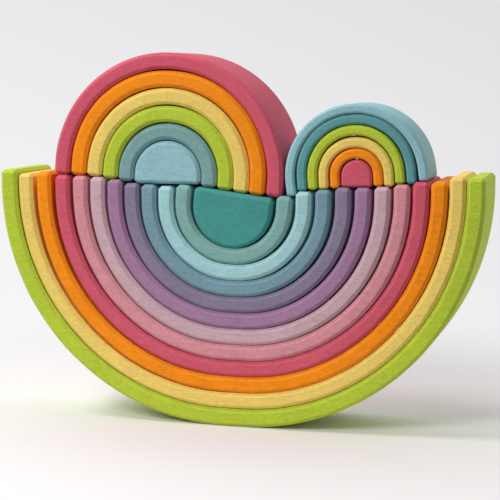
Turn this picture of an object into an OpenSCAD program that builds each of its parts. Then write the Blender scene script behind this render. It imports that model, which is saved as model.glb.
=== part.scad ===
// Rainbow stacker: three nesting sets of loose wooden arches, stacked on each other.
// The large set lies on its back like a bowl. The medium and the small set stand upright on its ends.
// X runs from left to right, Y from front to back and Z up. The origin is on the floor, below the middle.

/* [Large set] */
// Radius of the half disc in the middle
large_core = 30.5; // [26:0.5:36]
// Wall of each inner arch
large_wall = 11.75; // [10.5:0.25:13]
// Wall of the outermost arch
large_rim = 13.25; // [12:0.25:14]
// Play between one inner arch and the next, at the sides
large_gap = 2.3; // [2:0.1:3]
// Play between the outermost arch and the next
large_rim_gap = 0.8; // [0.8:0.1:1.4]
// Straight leg of the outermost arch, between its round and its end
large_rim_leg = 4.5; // [3:0.25:8]
// Straight leg of the arch inside it
large_leg = 3.7; // [2.75:0.25:6]
// How much longer each further leg is
large_leg_step = 0.7; // [0.4:0.05:1]
// Size from front to back
large_depth = 70; // [66:1:90]
// Bevel along every edge
large_bevel = 2.5; // [1:0.1:3]
// Half of the flat across the crown of the outermost arch, on which the stack stands
crown_flat = 7.5; // [6.5:0.5:9]
// Lean of the sage arch in its hollow, right end down
sage_lean = 5; // [2:0.5:6]
// Lean of the teal half disc in its hollow, right end down
teal_lean = 7.5; // [4:0.5:9]

/* [Medium set] */
// Radius of the half disc in the middle
medium_core = 26; // [23:0.5:29]
// Wall of each inner arch
medium_wall = 12; // [11:0.1:12.5]
// Wall of the outermost arch
medium_rim = 12.2; // [11.5:0.1:13]
// Play between one inner arch and the next
medium_gap = 0.6; // [0.6:0.1:1.2]
// Play between the outermost arch and the next
medium_rim_gap = 1.2; // [1.1:0.1:1.8]
// Straight side of the half disc, below its round
medium_leg = 6; // [4:0.25:8]
// How much longer each leg is than the one inside it
medium_leg_step = 0.55; // [0.2:0.05:1]
// Size from front to back
medium_depth = 65; // [50:1:67]
// Bevel along every edge
medium_bevel = 2.4; // [1:0.1:3]
// Middle of the set, to the right of the middle of the large set
medium_x = -52.6; // [-58:0.2:-46]

/* [Small set] */
// Radius of the half disc in the middle
small_core = 11.3; // [10:0.1:13]
// Wall of each inner arch
small_wall = 7.1; // [6.5:0.1:7.5]
// Wall of the outermost arch
small_rim = 7; // [6:0.1:8]
// Play between one inner arch and the next
small_gap = 1; // [0.8:0.1:1.5]
// Play between the outermost arch and the next
small_rim_gap = 1.6; // [1.5:0.1:2]
// Straight side of the half disc, below its round
small_leg = 8.4; // [6:0.2:9]
// How much longer each leg is than the one inside it
small_leg_step = 0.1; // [0:0.05:0.3]
// Size from front to back
small_depth = 45; // [38:1:60]
// Bevel along every edge
small_bevel = 1.6; // [0.8:0.1:2]

/* [Stacking] */
// Air left between two pieces where one rests on the other
seat = 0.25; // [0.2:0.05:0.5]
// Distance between the medium and the small set
set_gap = 1.6; // [1.6:0.1:4]
// How far the two upper sets stand behind the front of the large set
set_back = 3; // [0:0.5:3]

/* [Hidden] */
$fn = 180;

// Stains
lime = "#b0c832";
yellow = "#e6cd78";
orange = "#fa9123";
raspberry = "#cd5873";
pink = "#d6959f";
lilac = "#cbb0bf";
mauve = "#a67da5";
violet = "#9182aa";
slate = "#7d9baf";
mint = "#9bcdcd";
sage = "#82b0a6";
teal = "#48958f";
grey_teal = "#7daaaf";
pale_blue = "#96c3cd";
sky_blue = "#8cb9be";
petrol = "#5a969b";

// Large set, counted from 0 for the outermost arch. Each piece has sunk onto the one outside it,
// leans a little, right end down, and lies a little to the right of the middle, as it came to rest.
large_lean = [0, -0.6, 0.4, 0, 0.4, 0.8, 0.7, 0, 0.5, 1, sage_lean, teal_lean];
large_shift = [0, 0.4, 1.4, 2.4, 2.8, 2.8, 2.6, 2.2, 1.6, 1, 0.4, 0];
large_last = len(large_lean) - 1;
large_pitch = large_wall + large_gap;
function large_wall_of(i) = i == 0 ? large_rim : large_wall;
function large_gap_of(i) = i == 1 ? large_rim_gap : large_gap;
function large_reach(i) =
    i == 0 ? large_reach(1) + large_rim_gap + large_rim : large_core + (large_last - i) * large_pitch;
function large_leg_of(i) = i == 0 ? large_rim_leg : large_leg + (i - 1) * large_leg_step;

// The half flat shrinks to nothing at the half disc, faster towards the middle, in steps of a tenth
flat_grain = 0.1;
function large_flat(i) = round(crown_flat * (1 - pow(i / large_last, 2)) / flat_grain) * flat_grain;

// How far a piece sinks below the centre of the one outside it. Its quarter rounds lie nearer to the
// middle by the difference of the half flats, and where its shift takes up more than that it rests
// on the side of the hollow.
function large_sink(i) =
    let (nearer = large_flat(i - 1) - large_flat(i),
         aside = max(0, abs(large_shift[i] - large_shift[i - 1]) - nearer),
         room = large_gap_of(i) - nearer - seat)
    nearer + sqrt(room * room - aside * aside) - large_flat(i) * sin(abs(large_lean[i]));
function large_z(i) = i == 0 ? large_reach(0) : large_z(i - 1) - large_sink(i);
large_front = -large_depth / 2;

// Outline of the upper ends of the large set, as [x, z] points from left to right.
// An end is given by the range it spans across the piece, left to right, and beside it
// the outline drops to the floor.
brink = 0.01;
function large_end(i, from, to) =
    let (lean = large_lean[i], leg = large_leg_of(i), bevel = large_bevel,
         top = [for (p = [[from, leg - bevel], [from + bevel, leg], [to - bevel, leg], [to, leg - bevel]])
             [large_shift[i] + p[0] * cos(lean) + p[1] * sin(lean),
              large_z(i) + p[1] * cos(lean) - p[0] * sin(lean)]])
    [[top[0][0] - brink, 0], each top, [top[3][0] + brink, 0]];
large_ends = [
    for (i = [0 : large_last - 1]) large_end(i, -large_reach(i), large_wall_of(i) - large_reach(i)),
    large_end(large_last, -large_reach(large_last), large_reach(large_last)),
    for (i = [large_last - 1 : -1 : 0]) large_end(i, large_reach(i) - large_wall_of(i), large_reach(i))
];
rest_points = [for (end = large_ends) each end];

// Upper sets, with their pieces counted from 0 for the half disc. Shift is how far each piece stands to the
// right of the middle of its set, and prop how far its left foot stays up, held by its neighbours.
medium_shift = [1.2, 1.2, 1.2, 1, 0.7, 0.6];
medium_prop = [0, 0, 0, 0, 0, 0];
small_shift = [0.7, 0.4, 0, -0.2, 0, 0];
small_prop = [0, 0, 0, 2.2, 0, 0];

// An upper set is [half disc radius, wall, gap, leg, leg step, depth, bevel, middle x, wall of the
// outermost arch, gap inside it, shifts, props]
upper_last = 5;
function upper_reach(set, i) =
    i == upper_last ? upper_reach(set, i - 1) + set[9] + set[8] : set[0] + i * (set[1] + set[2]);
function upper_leg(set, i) = set[3] + i * set[4];
function upper_wall(set, i) = i == 0 ? set[0] : i == upper_last ? set[8] : set[1];
function upper_gap(set, i) = i == upper_last ? set[9] : set[2];
function upper_x(set, i) = set[7] + set[10][i];
medium_set = [
    medium_core, medium_wall, medium_gap, medium_leg, medium_leg_step, medium_depth, medium_bevel,
    medium_x, medium_rim, medium_rim_gap, medium_shift, medium_prop
];
small_reach = small_core + (upper_last - 1) * (small_wall + small_gap) + small_rim_gap + small_rim;
small_x = upper_x(medium_set, upper_last) + upper_reach(medium_set, upper_last) + set_gap + small_reach;
small_set = [
    small_core, small_wall, small_gap, small_leg, small_leg_step, small_depth, small_bevel,
    small_x, small_rim, small_rim_gap, small_shift, small_prop
];

// Corners of one foot, as [distance from the middle, height above the foot]
function foot_corners(set, i) =
    let (reach = upper_reach(set, i), wall = upper_wall(set, i), bevel = set[6])
    [[reach - wall, i == 0 ? 0 : bevel], [reach - wall + (i == 0 ? 0 : bevel), 0],
     [reach - bevel, 0], [reach, bevel]];

// Height that the centre of a leaning piece needs so that the foot on one side (-1 or 1) clears the
// large ends: either a corner of the foot rests on the ends, or a corner of the ends touches the foot
function foot_height(set, i, lean, side) =
    let (leg = upper_leg(set, i), corners = foot_corners(set, i),
         middle = upper_x(set, i) - leg * sin(lean),
         on_ends = [for (c = corners)
             let (u = side * c[0])
             lookup(middle + u * cos(lean), rest_points) + (leg - c[1]) * cos(lean) + u * sin(lean)],
         on_foot = [for (p = rest_points)
             let (u = (p[0] - middle) / cos(lean), out = side * u)
             if (out >= corners[0][0] && out <= corners[3][0])
                 p[1] + leg * cos(lean) + u * sin(lean) - lookup(out, corners) * cos(lean)])
    max([each on_ends, each on_foot]) + seat + (side < 0 ? set[11][i] : 0);

// Lean at which both feet rest, found by halving the range between two leans
most_lean = 15;
lean_rounds = 14;
function rest_lean(set, i, low = -most_lean, high = most_lean, rounds = lean_rounds) =
    let (mid = (low + high) / 2)
    rounds == 0 ? mid :
    foot_height(set, i, mid, -1) > foot_height(set, i, mid, 1) ?
        rest_lean(set, i, mid, high, rounds - 1) : rest_lean(set, i, low, mid, rounds - 1);

// Height of the centre of each piece: on its feet, or on the crown of the piece inside it if that is higher
function upper_z(set, i) =
    let (lean = rest_lean(set, i),
         on_feet = max(foot_height(set, i, lean, -1), foot_height(set, i, lean, 1)))
    i == 0 ? on_feet : max(on_feet, upper_z(set, i - 1) - upper_gap(set, i) + seat);

// Section of a bar: wall wide from x = 0, depth long about y = 0, with bevelled corners
module bar_section(wall, depth, bevel) {
    far = depth / 2;
    polygon([
        [bevel, -far], [wall - bevel, -far], [wall, bevel - far], [wall, far - bevel],
        [wall - bevel, far], [bevel, far], [0, far - bevel], [0, bevel - far]
    ]);
}

// Straight bar that runs down from y = 0
module leg_bar(wall, depth, bevel, length) {
    rotate([90, 0, 0]) linear_extrude(length) bar_section(wall, depth, bevel);
}

// Square prism whose corner takes a bevel off an edge along z
module edge_cut(bevel, length) {
    side = bevel * sqrt(2);
    rotate([0, 0, 45]) cube([side, side, length], center = true);
}

// Bevels round the end faces at y = -leg, along z at each x in edges, and along x at the front and the back
module end_cuts(edges, reach, leg, depth, bevel) {
    spare = 2;
    for (x = edges) translate([x, -leg, 0]) edge_cut(bevel, depth + spare);
    for (z = [-depth / 2, depth / 2])
        translate([0, -leg, z]) rotate([0, 90, 0]) edge_cut(bevel, 2 * reach + spare);
}

// Arch with its crown at y = reach, its round about the origin and its ends at y = -leg.
// Its two quarter rounds stand flat to either side of the middle, so that the crown is flat between them.
module arch(reach, wall, leg, depth, bevel, flat = 0) {
    difference() {
        union() {
            for (side = [0, 1]) mirror([side, 0, 0]) {
                translate([flat, flat, 0]) rotate_extrude(angle = 90)
                    translate([reach - flat - wall, 0]) bar_section(wall, depth, bevel);
                translate([reach - wall, flat, 0]) leg_bar(wall, depth, bevel, flat + leg);
            }
            if (flat > 0) translate([-flat, reach - wall, 0]) rotate([90, 0, 90])
                linear_extrude(2 * flat) bar_section(wall, depth, bevel);
        }
        end_cuts([-reach, wall - reach, reach - wall, reach], reach, leg, depth, bevel);
    }
}

// Half disc with its round about the origin and its flat side at y = -leg
module half_disc(reach, leg, depth, bevel) {
    far = depth / 2;
    difference() {
        union() {
            rotate_extrude(angle = 180) polygon([
                [0, -far], [reach - bevel, -far], [reach, bevel - far],
                [reach, far - bevel], [reach - bevel, far], [0, far]
            ]);
            translate([-reach, 0, 0]) leg_bar(2 * reach, depth, bevel, leg);
        }
        end_cuts([-reach, reach], reach, leg, depth, bevel);
    }
}

// Stands a piece up, with its round at the given place and its right side down by lean.
// Half a turn lays it on its back.
module stand(x, y, z, lean, turn = 0) {
    translate([x, y, z]) rotate([0, lean + turn, 0]) rotate([90, 0, 0]) children();
}

module large_piece(i) {
    stand(large_shift[i], 0, large_z(i), large_lean[i], 180)
        if (i == large_last) half_disc(large_reach(i), large_leg_of(i), large_depth, large_bevel);
        else arch(large_reach(i), large_wall_of(i), large_leg_of(i), large_depth, large_bevel,
                  large_flat(i));
}

module upper_piece(set, i) {
    depth = set[5];
    stand(upper_x(set, i), large_front + set_back + depth / 2, upper_z(set, i), rest_lean(set, i))
        if (i == 0) half_disc(upper_reach(set, i), upper_leg(set, i), depth, set[6]);
        else arch(upper_reach(set, i), upper_wall(set, i), upper_leg(set, i), depth, set[6]);
}

module large_lime_arch() { color(lime) large_piece(0); }
module large_yellow_arch() { color(yellow) large_piece(1); }
module large_orange_arch() { color(orange) large_piece(2); }
module large_raspberry_arch() { color(raspberry) large_piece(3); }
module large_pink_arch() { color(pink) large_piece(4); }
module large_lilac_arch() { color(lilac) large_piece(5); }
module large_mauve_arch() { color(mauve) large_piece(6); }
module large_violet_arch() { color(violet) large_piece(7); }
module large_slate_arch() { color(slate) large_piece(8); }
module large_mint_arch() { color(mint) large_piece(9); }
module large_sage_arch() { color(sage) large_piece(10); }
module large_teal_half_disc() { color(teal) large_piece(11); }

module medium_raspberry_arch() { color(raspberry) upper_piece(medium_set, 5); }
module medium_orange_arch() { color(orange) upper_piece(medium_set, 4); }
module medium_yellow_arch() { color(yellow) upper_piece(medium_set, 3); }
module medium_lime_arch() { color(lime) upper_piece(medium_set, 2); }
module medium_grey_arch() { color(grey_teal) upper_piece(medium_set, 1); }
module medium_blue_half_disc() { color(pale_blue) upper_piece(medium_set, 0); }

module small_blue_arch() { color(sky_blue) upper_piece(small_set, 5); }
module small_petrol_arch() { color(petrol) upper_piece(small_set, 4); }
module small_lime_arch() { color(lime) upper_piece(small_set, 3); }
module small_yellow_arch() { color(yellow) upper_piece(small_set, 2); }
module small_orange_arch() { color(orange) upper_piece(small_set, 1); }
module small_raspberry_half_disc() { color(raspberry) upper_piece(small_set, 0); }

large_lime_arch();
large_yellow_arch();
large_orange_arch();
large_raspberry_arch();
large_pink_arch();
large_lilac_arch();
large_mauve_arch();
large_violet_arch();
large_slate_arch();
large_mint_arch();
large_sage_arch();
large_teal_half_disc();
medium_raspberry_arch();
medium_orange_arch();
medium_yellow_arch();
medium_lime_arch();
medium_grey_arch();
medium_blue_half_disc();
small_blue_arch();
small_petrol_arch();
small_lime_arch();
small_yellow_arch();
small_orange_arch();
small_raspberry_half_disc();
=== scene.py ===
import math

import bpy
import numpy as np
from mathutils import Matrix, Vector
from mathutils.geometry import convex_hull_2d


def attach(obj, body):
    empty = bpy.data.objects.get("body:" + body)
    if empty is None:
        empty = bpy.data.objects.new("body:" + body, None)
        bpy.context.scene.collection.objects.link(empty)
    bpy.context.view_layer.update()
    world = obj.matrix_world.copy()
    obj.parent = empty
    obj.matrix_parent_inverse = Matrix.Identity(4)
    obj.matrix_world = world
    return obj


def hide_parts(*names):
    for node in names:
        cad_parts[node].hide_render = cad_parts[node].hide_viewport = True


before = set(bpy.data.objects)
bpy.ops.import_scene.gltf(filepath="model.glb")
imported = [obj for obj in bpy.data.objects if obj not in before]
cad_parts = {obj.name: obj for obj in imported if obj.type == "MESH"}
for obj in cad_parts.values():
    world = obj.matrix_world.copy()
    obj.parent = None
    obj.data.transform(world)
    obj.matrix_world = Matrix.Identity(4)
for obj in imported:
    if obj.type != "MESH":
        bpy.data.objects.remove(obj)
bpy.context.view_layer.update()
print("frame loaded with", len(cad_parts), "pieces")

# metres and degrees throughout, as in the frame
millimetre = 0.001


# The camera of the photograph: to the right of the front and a little above the stack
shot = {
    "target": (0.0044, 0, 0.1294),
    "azimuth": 15.55,
    "pitch": 6.93,
    "distance": 1.088,
    "focalPixels": 1430,
    "imagePixels": 500,
    "sensor": 36,
}


def makeCamera():
    azimuth, pitch = math.radians(shot["azimuth"]), math.radians(shot["pitch"])
    level = math.cos(pitch)
    forward = Vector((-math.sin(azimuth) * level, math.cos(azimuth) * level, -math.sin(pitch)))
    data = bpy.data.cameras.new("photoCamera")
    data.sensor_width = shot["sensor"]
    data.lens = shot["sensor"] * shot["focalPixels"] / shot["imagePixels"]
    camera = bpy.data.objects.new("photoCamera", data)
    camera.location = Vector(shot["target"]) - forward * shot["distance"]
    camera.rotation_mode = "QUATERNION"
    camera.rotation_quaternion = forward.to_track_quat("-Z", "Y")
    bpy.context.scene.collection.objects.link(camera)
    bpy.context.scene.camera = camera


makeCamera()
print("camera set")


# How finely the surfaces are divided, which points count as level with each other, and how a bevel's width
# wanders: every sine has its share, its rate and its shift from piece to piece
handwork = {
    "arcSteps": 4,
    "ringStep": 3 * millimetre,
    "leastRings": 96,
    "discSteps": 72,
    "discRings": 8,
    "facePoints": 1,
    "wallPoints": 3,
    "footPoints": 5,
    "edgeGuard": 0.25 * millimetre,
    "leastBevel": 0.15 * millimetre,
    "sameHeight": 0.01 * millimetre,
    "sameWall": 0.00015 * millimetre,
    "wobbleLength": 45 * millimetre,
    "wobbleSines": ((1, 1, 1), (0.6, 1.73, 2.1), (0.4, 3.1, 4.7)),
}


# A piece's place and size, read off its solid. Its outline from the front is a chord across both ends
# and a round, so the longest straight side of its convex hull gives the lean.
def placeOf(node, crownUp):
    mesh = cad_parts[node].data
    points = np.empty(len(mesh.vertices) * 3, np.float32)
    mesh.vertices.foreach_get("co", points)
    points = points.reshape(-1, 3).astype(float)
    flatPoints = points[:, [0, 2]]
    hull = flatPoints[convex_hull_2d([tuple(p) for p in flatPoints])]
    sides = np.roll(hull, -1, axis=0) - hull
    chord = sides[np.argmax((sides ** 2).sum(1))]
    right = chord / np.linalg.norm(chord)
    right = right if (right[0] > 0) == crownUp else -right
    up = np.array([-right[1], right[0]])
    across, height = flatPoints @ right, flatPoints @ up
    onFoot = across[height < height.min() + handwork["sameHeight"]]
    onCrown = across[height > height.max() - handwork["sameHeight"]]
    middle = (across.max() + across.min()) / 2
    reach = (across.max() - across.min()) / 2
    bevel = reach - (onFoot.max() - middle)
    return {
        "crownUp": crownUp,
        "right": right,
        "up": up,
        "middle": middle,
        "centre": height.max() - reach,
        "front": points[:, 1].min(),
        "depth": np.ptp(points[:, 1]),
        "reach": reach,
        "leg": np.ptp(height) - reach,
        "bevel": bevel,
        "wall": reach - np.abs(onFoot - middle).min() + bevel,
        "flat": max(0, onCrown.max() - middle),
    }


# Slow change of a bevel's width along its run: sines whose lengths aren't in step, over the sum of their
# shares
def wobbleAlong(run, seed):
    turns = run / handwork["wobbleLength"] * math.tau
    sines = handwork["wobbleSines"]
    waves = [share * np.sin(rate * turns + shift * seed) for share, rate, shift in sines]
    return sum(waves) / sum(share for share, rate, shift in sines)


# Profile from a side over its bevel to a face: two arcs of 45 degrees about the bevel's corners, given as the
# depth below the face and the inset from the side
def bevelProfile(bevel, soft):
    turn = np.linspace(0, math.pi / 4, handwork["arcSteps"])
    slack = soft * math.tan(math.pi / 8)
    below = np.r_[bevel + slack - soft * np.sin(turn), soft - soft * np.sin(turn + math.pi / 4)]
    inset = np.r_[soft - soft * np.cos(turn), bevel + slack - soft * np.cos(turn + math.pi / 4)]
    return below, inset


# One corner of an outline with sides at distances a and b from its origin, turned by quarter turns: two
# arcs of 45 degrees with a bevel between them. All sizes are columns with one row for each ring.
def softCorner(a, b, bevel, soft, quarterTurns):
    turn = np.linspace(0, math.pi / 4, handwork["arcSteps"])
    slack = soft * math.tan(math.pi / 8)
    late = turn + math.pi / 4
    cut = np.maximum(bevel + slack, soft + handwork["leastBevel"])
    x = np.hstack([a - soft + soft * np.cos(turn), a - cut + soft * np.cos(late)])
    y = np.hstack([b - cut + soft * np.sin(turn), b - soft + soft * np.sin(late)])
    for _ in range(quarterTurns):
        x, y = -y, x
    return np.stack([x, y], -1)


# Straight side from the last point of one stretch to the first point of the next, with a point close to
# each end so that the flat stays flat where its edges are soft
def straightSide(start, end, inner):
    span = end[:, :1] - start[:, -1:]
    guard = handwork["edgeGuard"] / np.maximum(np.linalg.norm(span, axis=-1), 4 * handwork["edgeGuard"])
    even = np.broadcast_to(np.linspace(0, 1, inner + 2)[1:-1], (len(guard), inner))
    shares = np.hstack([guard, even, 1 - guard])
    return start[:, -1:] + span * shares[..., None]


# Joins stretches of outline and straight sides into closed loops, with two masks for each point: on a bevel,
# and on a soft edge
def joinLoop(stretches):
    points = np.concatenate([s[0] for s in stretches], axis=1)
    band = np.concatenate([np.full(s[0].shape[1], s[1], float) for s in stretches])
    edge = np.concatenate([np.full(s[0].shape[1], s[2], float) for s in stretches])
    return points, band, edge


# A corner split where its bevel starts, so that the bevel has guard points of its own
def cornerStretches(corner):
    steps = handwork["arcSteps"]
    first, last = corner[:, :steps], corner[:, steps:]
    return [(first, 1, 1), (straightSide(first, last, 0), 1, 0), (last, 1, 1)]


# Surface of an arch: the soft-edged outline of its bar is carried along its run, which goes up one leg, round
# the crown and down the other leg. The run is a skeleton point plus a radius times its outward normal, and at
# both ends the outline shrinks over the end bevel. The outer wall is a parabola across its depth, straight at
# its seat and fuller by the bow away from it: an upright arch sits on its legs, an upturned one on its crown.
def archSurface(place, soft, wobble, bow, seed):
    reach, wall, leg, flat, bevel = (place[k] for k in ("reach", "wall", "leg", "flat", "bevel"))
    inner = reach - flat - wall
    quarter = (inner + wall / 2) * math.pi / 2
    knots = np.cumsum([0, leg + flat, quarter, 2 * flat, quarter, leg + flat])
    below, inset = bevelProfile(bevel, soft)
    capInset = inset[-1] + handwork["edgeGuard"]
    count = max(int(knots[-1] / handwork["ringStep"]), handwork["leastRings"])
    body = np.linspace(below[0], knots[-1] - below[0], count)[1:-1]
    run = np.r_[0, below[::-1], body, knots[-1] - below, knots[-1]]
    shrink = np.r_[capInset, inset[::-1], np.zeros(len(body)), inset, capInset][:, None]
    ending = (shrink > 0).astype(float)
    width = bevel * (1 + wobble * wobbleAlong(run, seed))[:, None] - 2 * shrink
    a, b = wall / 2 - shrink, place["depth"] / 2 - shrink
    corners = [softCorner(*((a, b) if k % 2 == 0 else (b, a)), width, soft, k) for k in range(4)]
    stretches = []
    for k in range(4):
        stretches += cornerStretches(corners[k])
        between = handwork["facePoints" if k % 2 == 0 else "wallPoints"]
        stretches.append((straightSide(corners[k], corners[(k + 1) % 4], between), 0, 0))
    outline, band, edge = joinLoop(stretches)
    angle = np.interp(run, knots, np.array([2, 2, 1, 1, 0, 0]) * math.pi / 2)[:, None]
    skeletonX = np.interp(run, knots, np.array([-1, -1, -1, 1, 1, 1]) * flat)[:, None]
    skeletonZ = np.interp(run, knots, [-leg, flat, flat, flat, flat, -leg])[:, None]
    outerWall = outline[..., 0] > a - handwork["sameWall"]
    offSeat = np.sin(angle) if place["crownUp"] else np.abs(np.cos(angle))
    fuller = bow * offSeat * (1 - (2 * outline[..., 1] / place["depth"]) ** 2)
    radius = inner + wall / 2 + outline[..., 0] + outerWall * fuller
    x, z = skeletonX + radius * np.cos(angle), skeletonZ + radius * np.sin(angle)
    local = np.stack([x, outline[..., 1], z], -1)
    soften = np.broadcast_to(edge, radius.shape)
    return local, np.maximum(band, ending), soften, np.broadcast_to(run[:, None], radius.shape)


# Surface of a half disc: its outline, a half round with two short legs and a flat side, is carried from the
# front to the back and shrinks over the bevels of both faces
def halfDiscSurface(place, soft, wobble, seed):
    reach, leg, bevel, depth = (place[k] for k in ("reach", "leg", "bevel", "depth"))
    below, inset = bevelProfile(bevel, soft)
    capInset = inset[-1] + handwork["edgeGuard"]
    sides = np.linspace(below[0], depth - below[0], handwork["discRings"])[1:-1]
    y = np.r_[0, below[::-1], sides, depth - below, depth] - depth / 2
    shrink = np.r_[capInset, inset[::-1], np.zeros(len(sides)), inset, capInset][:, None]
    angle = np.linspace(0, math.pi, handwork["discSteps"])
    drift = 1 - wobble * wobbleAlong(angle * reach, seed) * np.sin(angle) ** 2
    radius = reach - shrink * drift
    arc = np.stack([radius * np.cos(angle), radius * np.sin(angle)], -1)
    a, b = reach - shrink, leg - shrink
    left = softCorner(a, b, bevel - 2 * shrink, soft, 2)
    right = softCorner(b, a, bevel - 2 * shrink, soft, 3)
    stretches = [(arc, 0, 0), (straightSide(arc, left, 0), 0, 0), *cornerStretches(left)]
    stretches += [(straightSide(left, right, handwork["footPoints"]), 0, 0), *cornerStretches(right)]
    stretches.append((straightSide(right, arc, 0), 0, 0))
    outline, band, edge = joinLoop(stretches)
    bevelled = ((shrink > 0) & (shrink < capInset)).astype(float)
    local = np.stack([outline[..., 0], np.broadcast_to(y[:, None], outline.shape[:2]), outline[..., 1]], -1)
    steps = np.linalg.norm(np.diff(outline[len(y) // 2], axis=0), axis=1)
    run = np.broadcast_to(np.r_[0, np.cumsum(steps)], outline.shape[:2])
    return local, np.maximum(band * (shrink < capInset), bevelled), edge * (shrink < capInset), run


# Mesh of a surface given as closed rings of points: four-sided faces between rings, and a face at each end
def surfaceMesh(name, place, surface):
    local, band, edge, run = surface
    rings, loop = local.shape[:2]
    points = np.empty_like(local)
    across, height = local[..., :1] + place["middle"], local[..., 2:] + place["centre"]
    points[..., [0, 2]] = across * place["right"] + height * place["up"]
    points[..., 1] = local[..., 1] + place["front"] + place["depth"] / 2
    index = np.arange(rings * loop).reshape(rings, loop)
    beside = np.roll(index, -1, axis=1)
    quads = np.stack([index[:-1], index[1:], beside[1:], beside[:-1]], -1).reshape(-1, 4)
    mesh = bpy.data.meshes.new(name)
    ends = [index[0].tolist(), index[-1][::-1].tolist()]
    mesh.from_pydata(points.reshape(-1, 3), [], quads.tolist() + ends)
    for label, values in (("bevelBand", band), ("softEdge", edge), ("runLength", run)):
        layer = mesh.attributes.new(label, "FLOAT", "POINT")
        layer.data.foreach_set("value", np.ascontiguousarray(values, np.float32).ravel())
    mesh.polygons.foreach_set("use_smooth", np.ones(len(mesh.polygons), bool))
    mesh.update()
    return mesh


# Small helper for shader nodes: makes a node, sets its plain sockets and links the others
def addNode(tree, kind, inputs=None, **settings):
    node = tree.nodes.new(kind)
    for key, value in settings.items():
        setattr(node, key, value)
    for key, value in (inputs or {}).items():
        if isinstance(value, bpy.types.NodeSocket):
            tree.links.new(value, node.inputs[key])
        else:
            node.inputs[key].default_value = value
    return node


def addMath(tree, operation, first, second):
    return addNode(tree, "ShaderNodeMath", {0: first, 1: second}, operation=operation).outputs[0]


# A value times a factor, plus a base
def addScaled(tree, value, factor, base):
    inputs = {0: value, 1: factor, 2: base}
    return addNode(tree, "ShaderNodeMath", inputs, operation="MULTIPLY_ADD").outputs[0]


# A value taken from one range to another, and held at its ends
def addRange(tree, value, start, end, low=0, high=1, curve="SMOOTHSTEP"):
    inputs = {"Value": value, "From Min": start, "From Max": end, "To Min": low, "To Max": high}
    return addNode(tree, "ShaderNodeMapRange", inputs, interpolation_type=curve).outputs["Result"]


def addNoise(tree, place, scale, detail, roughness=0.5):
    inputs = {"Vector": place, "Scale": scale, "Detail": detail, "Roughness": roughness}
    return addNode(tree, "ShaderNodeTexNoise", inputs).outputs["Fac"]


def startGroup(name, inputs, outputs):
    tree = bpy.data.node_groups.new(name, "ShaderNodeTree")
    for label, kind in inputs.items():
        tree.interface.new_socket(label, in_out="INPUT", socket_type=kind)
    for label, kind in outputs.items():
        tree.interface.new_socket(label, in_out="OUTPUT", socket_type=kind)
    return tree, tree.nodes.new("NodeGroupInput"), tree.nodes.new("NodeGroupOutput")


# Stained wood: how deep the stain is, from slow clouds, a speckle of short fibres, and long fibres along the
# board with dark pores between them
stainedGrain = {
    "cloudScale": 26,
    "speckleStretch": (300, 430, 430),
    "fibreStretch": (60, 640, 640),
    "poreStretch": (220, 1500, 1500),
    "cloudShare": 0.20,
    "speckleShare": 0.34,
    "fibreShare": 0.26,
    "poreShare": 0.16,
    "poreStart": 0.58,
    "poreEnd": 0.72,
    "poreDepth": 0.8,
    "roughness": 0.55,
}


def makeStainedGrain():
    g = stainedGrain
    tree, given, result = startGroup("stainedGrain", {"Place": "NodeSocketVector"},
                                     {"Tone": "NodeSocketFloat", "Height": "NodeSocketFloat"})

    def noise(stretch, detail):
        place = addNode(tree, "ShaderNodeMapping", {"Vector": given.outputs["Place"], "Scale": stretch})
        return addNoise(tree, place.outputs["Vector"], 1, detail, g["roughness"])

    fibre = noise(g["fibreStretch"], 3)
    pores = addRange(tree, noise(g["poreStretch"], 2), g["poreStart"], g["poreEnd"])
    clouds, speckle = noise((g["cloudScale"],) * 3, 2), noise(g["speckleStretch"], 2)
    tone = 1 - (g["cloudShare"] + g["speckleShare"] + g["fibreShare"]) / 2
    for field, share in ((clouds, g["cloudShare"]), (speckle, g["speckleShare"]),
                         (fibre, g["fibreShare"]), (pores, -g["poreShare"])):
        tone = addScaled(tree, field, share, tone)
    height = addScaled(tree, pores, -g["poreDepth"], fibre)
    tree.links.new(tone, result.inputs["Tone"])
    tree.links.new(height, result.inputs["Height"])
    return tree


# Cutter marks: low ridges across a bevel, a little over two millimetres apart on the average, on some
# stretches only
cutterMarks = {
    "pitch": 2.4 * millimetre,
    "drift": 5,
    "driftScale": 60,
    "patchScale": 30,
    "patchStart": 0.48,
    "patchEnd": 0.62,
}


def makeCutterMarks():
    c = cutterMarks
    tree, given, result = startGroup("cutterMarks", {"Place": "NodeSocketVector", "Run": "NodeSocketFloat",
                                                     "Band": "NodeSocketFloat"}, {"Mark": "NodeSocketFloat"})
    place = given.outputs["Place"]
    turns = addMath(tree, "MULTIPLY", given.outputs["Run"], math.tau / c["pitch"])
    uneven = addScaled(tree, addNoise(tree, place, c["driftScale"], 1), c["drift"], turns)
    ridge = addScaled(tree, addMath(tree, "SINE", uneven, 0), 0.5, 0.5)
    patch = addNoise(tree, place, c["patchScale"], 1)
    strength = addRange(tree, patch, c["patchStart"], c["patchEnd"], curve="LINEAR")
    mark = addMath(tree, "MULTIPLY", addMath(tree, "MULTIPLY", ridge, strength), given.outputs["Band"])
    tree.links.new(mark, result.inputs["Mark"])
    return tree


# Rubbed edges with a painted edge highlight: the soft edges are painted paler in uneven stretches, partly as
# stain rubbed thin and partly as a painted highlight along every edge
rubAndEdgeHighlight = {"scale": 90, "start": 0.35, "end": 0.75}


def makeRubAndEdgeHighlight():
    r = rubAndEdgeHighlight
    tree, given, result = startGroup("rubAndEdgeHighlight", {"Place": "NodeSocketVector", "Edge": "NodeSocketFloat"},
                                     {"RubAndHighlight": "NodeSocketFloat"})
    patch = addNoise(tree, given.outputs["Place"], r["scale"], 3)
    share = addRange(tree, patch, r["start"], r["end"], curve="LINEAR")
    tree.links.new(addMath(tree, "MULTIPLY", share, given.outputs["Edge"]), result.inputs["RubAndHighlight"])
    return tree


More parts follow.
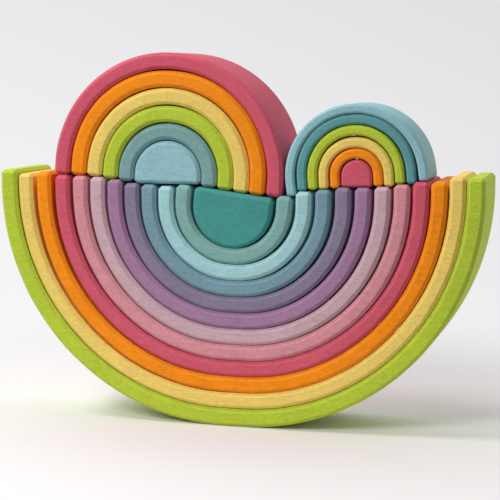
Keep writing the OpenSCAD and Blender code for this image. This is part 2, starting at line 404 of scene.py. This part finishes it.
grainGroup, markGroup, rubHighlightGroup = makeStainedGrain(), makeCutterMarks(), makeRubAndEdgeHighlight()

# Finish that all stains share. Most pieces were sanded clean, and the marked stains kept more of the cutter
# marks. The board step is how far along the board the next piece was cut.
finish = {
    "roughness": 0.75,
    "specular": 0.2,
    # How far the soft edges are painted paler, and towards how much white: partly stain rubbed thin, partly a
    # painted edge highlight
    "rubHighlightShare": 0.15,
    "rubHighlightWhite": 0.30,
    "markShare": 0.05,
    "markedShare": 0.13,
    "marked": ("raspberry", "pink"),
    "grainBump": 0.12 * millimetre,
    "markBump": 0.10 * millimetre,
    "bumpStrength": 0.5,
    "boardStep": (0.37, 0.53, 0.71),
}


# Stains of the wood, in steps of five levels. The same stain is used in every set that has it.
stains = {
    "lime": "#b9cd3c",
    "yellow": "#f0d26e",
    "orange": "#fa910f",
    "raspberry": "#d25a6e",
    "pink": "#d7919b",
    "lilac": "#cdaab4",
    "mauve": "#a57da0",
    "violet": "#877d96",
    "slate": "#789baa",
    "mint": "#a5d2d7",
    "sage": "#82afaa",
    "teal": "#469691",
    "grey": "#7da5a5",
    "blue": "#96c3cd",
    "petrol": "#5f9ba0",
}


def linearColour(code):
    levels = np.array([int(code[i:i + 2], 16) for i in (1, 3, 5)]) / 255
    return tuple(np.where(levels <= 0.04045, levels / 12.92, ((levels + 0.055) / 1.055) ** 2.4)) + (1.0,)


# Material of one piece: its stain toned by the grain, paler on the soft edges, partly from rubbing and partly
# as a painted edge highlight, and darker in the cutter marks. Each piece was cut from its own stretch of
# board, so the pattern is moved by its own offset.
def stainMaterial(name, stain, lean, offset):
    material = bpy.data.materials.new(name)
    material.use_nodes = True
    tree = material.node_tree
    shader = tree.nodes["Principled BSDF"]
    shader.inputs["Roughness"].default_value = finish["roughness"]
    shader.inputs["Specular IOR Level"].default_value = finish["specular"]
    colour = linearColour(stains[stain])
    pale = tuple(c + (1 - c) * finish["rubHighlightWhite"] for c in colour[:3]) + (1.0,)
    markShare = finish["markedShare" if stain in finish["marked"] else "markShare"]
    place = addNode(tree, "ShaderNodeMapping", {
        "Vector": addNode(tree, "ShaderNodeTexCoord").outputs["Object"],
        "Location": offset, "Rotation": (0, lean, 0)}).outputs["Vector"]
    layers = {label: addNode(tree, "ShaderNodeAttribute", attribute_name=label).outputs["Fac"]
              for label in ("bevelBand", "softEdge", "runLength")}
    grain = addNode(tree, "ShaderNodeGroup", node_tree=grainGroup)
    marks = addNode(tree, "ShaderNodeGroup", node_tree=markGroup)
    rubHighlightNode = addNode(tree, "ShaderNodeGroup", node_tree=rubHighlightGroup)
    for group in (grain, marks, rubHighlightNode):
        tree.links.new(place, group.inputs["Place"])
    tree.links.new(layers["runLength"], marks.inputs["Run"])
    tree.links.new(layers["bevelBand"], marks.inputs["Band"])
    tree.links.new(layers["softEdge"], rubHighlightNode.inputs["Edge"])
    # Painted edge highlight, with rubbing: the soft edges are mixed towards a paler stain
    rubHighlightAmount = addMath(tree, "MULTIPLY", rubHighlightNode.outputs["RubAndHighlight"], finish["rubHighlightShare"])
    rubHighlightMix = addNode(tree, "ShaderNodeMix", {"Factor": rubHighlightAmount, "A": colour, "B": pale}, data_type="RGBA")
    tone = addScaled(tree, marks.outputs["Mark"], -markShare, grain.outputs["Tone"])
    toned = addNode(tree, "ShaderNodeHueSaturation", {"Color": rubHighlightMix.outputs["Result"], "Value": tone})
    tree.links.new(toned.outputs["Color"], shader.inputs["Base Color"])
    markDepth = finish["markBump"] * markShare / finish["markedShare"]
    grainHeight = addMath(tree, "MULTIPLY", grain.outputs["Height"], finish["grainBump"])
    height = addScaled(tree, marks.outputs["Mark"], -markDepth, grainHeight)
    relief = {"Height": height, "Distance": 1, "Strength": finish["bumpStrength"]}
    bump = addNode(tree, "ShaderNodeBump", relief)
    tree.links.new(bump.outputs["Normal"], shader.inputs["Normal"])
    return material


# The three sets. Stains are listed from the outside in, and the last piece of each set is its half disc.
# Soft is the radius left on every edge after sanding, wobble the share by which a bevel's width wanders, and
# a bow, in millimetres, how much fuller a piece's outer wall is in the middle of its depth.
largeSet = {
    "prefix": "large",
    "firstSeed": 1,
    "crownUp": False,
    "soft": 0.7 * millimetre,
    "wobble": 0.09,
    "bows": {"pink": 0.85, "lilac": 1.0, "mauve": 1.0, "violet": 1.0, "slate": 1.0, "mint": 1.0},
    "stains": ("lime", "yellow", "orange", "raspberry", "pink", "lilac", "mauve", "violet", "slate", "mint",
               "sage", "teal"),
}
mediumSet = {
    "prefix": "medium",
    "firstSeed": 21,
    "crownUp": True,
    "soft": 0.7 * millimetre,
    "wobble": 0.09,
    "bows": {"orange": 0.6},
    "stains": ("raspberry", "orange", "yellow", "lime", "grey", "blue"),
}
smallSet = {
    "prefix": "small",
    "firstSeed": 41,
    "crownUp": True,
    "soft": 0.8 * millimetre,
    "wobble": 0.11,
    "bows": {"petrol": 0.45, "lime": 0.4, "yellow": 1.2, "orange": 0.3},
    "stains": ("blue", "petrol", "lime", "yellow", "orange", "raspberry"),
}


def makeSet(group):
    for number, stain in enumerate(group["stains"]):
        last = number == len(group["stains"]) - 1
        node = f"{group['prefix']}_{stain}_{'half_disc' if last else 'arch'}"
        seed = group["firstSeed"] + number
        place = placeOf(node, group["crownUp"])
        bow = group["bows"].get(stain, 0) * millimetre
        if last:
            surface = halfDiscSurface(place, group["soft"], group["wobble"], seed)
        else:
            surface = archSurface(place, group["soft"], group["wobble"], bow, seed)
        piece = bpy.data.objects.new(f"{node}_wood", surfaceMesh(f"{node}_wood", place, surface))
        bpy.context.scene.collection.objects.link(piece)
        lean = math.atan2(place["up"][0], place["up"][1])
        offset = tuple(step * seed for step in finish["boardStep"])
        piece.data.materials.append(stainMaterial(f"{node}_stain", stain, -lean, offset))
        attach(piece, node)
        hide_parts(node)
    print(group["prefix"], "set made:", len(group["stains"]), "pieces")


makeSet(largeSet)
makeSet(mediumSet)
makeSet(smallSet)

# Pale table that fades into a pale sky. The sky lights the wood more from behind than from the front, and
# shows its own pale colour to the camera: level at the horizon, darker upwards and to the right.
studio = {
    "tableHub": 0.02,
    "tableFirstRing": 0.2,
    "tableRadius": 1.4,
    "tableRings": 7,
    "tableSides": 96,
    "fadeStart": 0.16,
    "fadeEnd": 0.52,
    "tableColour": (0.81, 0.793, 0.802, 1),
    "tableRoughness": 0.9,
    "glowFront": 0.15,
    "glowBack": 1.0,
    "glowTurn": 0.35,
    "skyTint": (0.99, 0.985, 1.0, 1),
    "skyLevel": 0.765,
    "skyRise": -0.5,
    "skyRight": -0.22,
    "skyLeast": 0.72,
    "skyMost": 0.95,
}
lamps = {
    "softbox": {
        "place": (-0.41, -0.9, 0.85),
        "aim": (0, 0, 0.13),
        "size": 0.5,
        "power": 8.6,
        "colour": (1, 0.99, 0.97),
    },
    "window": {
        "place": (-0.85, -0.32, 1.5),
        "aim": (0, 0, 0.1),
        "size": 0.4,
        "power": 10.4,
        "colour": (1, 0.985, 0.96),
    },
}


# Table: a flat disc of rings, seen less and less towards its rim
def makeTable():
    s = studio
    out = np.r_[s["tableHub"], np.linspace(s["tableFirstRing"], s["tableRadius"], s["tableRings"])]
    around = np.linspace(0, math.tau, s["tableSides"], endpoint=False)
    x, y = np.outer(out, np.cos(around)), np.outer(out, np.sin(around))
    points = np.stack([x, y, np.zeros_like(x)], -1)
    index = np.arange(points.shape[0] * points.shape[1]).reshape(points.shape[:2])
    beside = np.roll(index, -1, axis=1)
    quads = np.stack([index[:-1], index[1:], beside[1:], beside[:-1]], -1).reshape(-1, 4)
    mesh = bpy.data.meshes.new("table")
    mesh.from_pydata(points.reshape(-1, 3), [], quads.tolist() + [index[0].tolist()])
    table = bpy.data.objects.new("table", mesh)
    bpy.context.scene.collection.objects.link(table)
    material = bpy.data.materials.new("tablePaper")
    material.use_nodes = True
    tree = material.node_tree
    shader = tree.nodes["Principled BSDF"]
    shader.inputs["Base Color"].default_value = s["tableColour"]
    shader.inputs["Roughness"].default_value = s["tableRoughness"]
    shader.inputs["Specular IOR Level"].default_value = 0
    place = addNode(tree, "ShaderNodeTexCoord").outputs["Object"]
    radius = addNode(tree, "ShaderNodeVectorMath", {0: place}, operation="LENGTH").outputs["Value"]
    shown = addRange(tree, radius, s["fadeStart"], s["fadeEnd"], 1, 0)
    tree.links.new(shown, shader.inputs["Alpha"])
    mesh.materials.append(material)


def makeLamp(name, lamp):
    data = bpy.data.lights.new(name, "AREA")
    data.shape = "SQUARE"
    data.size = lamp["size"]
    data.energy = lamp["power"]
    data.color = lamp["colour"]
    light = bpy.data.objects.new(name, data)
    light.location = lamp["place"]
    light.rotation_mode = "QUATERNION"
    light.rotation_quaternion = (Vector(lamp["aim"]) - Vector(lamp["place"])).to_track_quat("-Z", "Y")
    light.visible_camera = False
    bpy.context.scene.collection.objects.link(light)


def makeSky():
    s = studio
    world = bpy.data.worlds.new("studioSky")
    world.use_nodes = True
    tree = world.node_tree
    direction = addNode(tree, "ShaderNodeTexCoord").outputs["Generated"]
    along = addNode(tree, "ShaderNodeSeparateXYZ", {0: direction}).outputs
    glow = addRange(tree, along["Y"], -s["glowTurn"], s["glowTurn"], s["glowFront"], s["glowBack"])
    rise = addScaled(tree, along["Z"], s["skyRise"], s["skyLevel"])
    pale = addScaled(tree, along["X"], s["skyRight"], rise)
    ends = {"Value": pale, "Min": s["skyLeast"], "Max": s["skyMost"]}
    pale = addNode(tree, "ShaderNodeClamp", ends).outputs[0]
    path = addNode(tree, "ShaderNodeLightPath").outputs
    seen = addMath(tree, "MAXIMUM", path["Is Camera Ray"], path["Is Glossy Ray"])
    seen = addMath(tree, "MAXIMUM", seen, path["Is Transmission Ray"])
    level = addNode(tree, "ShaderNodeMix", {"Factor": seen, "A": glow, "B": pale}, data_type="FLOAT")
    sky = tree.nodes["Background"]
    sky.inputs["Color"].default_value = s["skyTint"]
    tree.links.new(level.outputs["Result"], sky.inputs["Strength"])
    bpy.context.scene.world = world


makeTable()
makeSky()
for lampName, lampSizes in lamps.items():
    makeLamp(lampName, lampSizes)
bpy.context.scene.view_settings.view_transform = "Standard"
print("studio made")
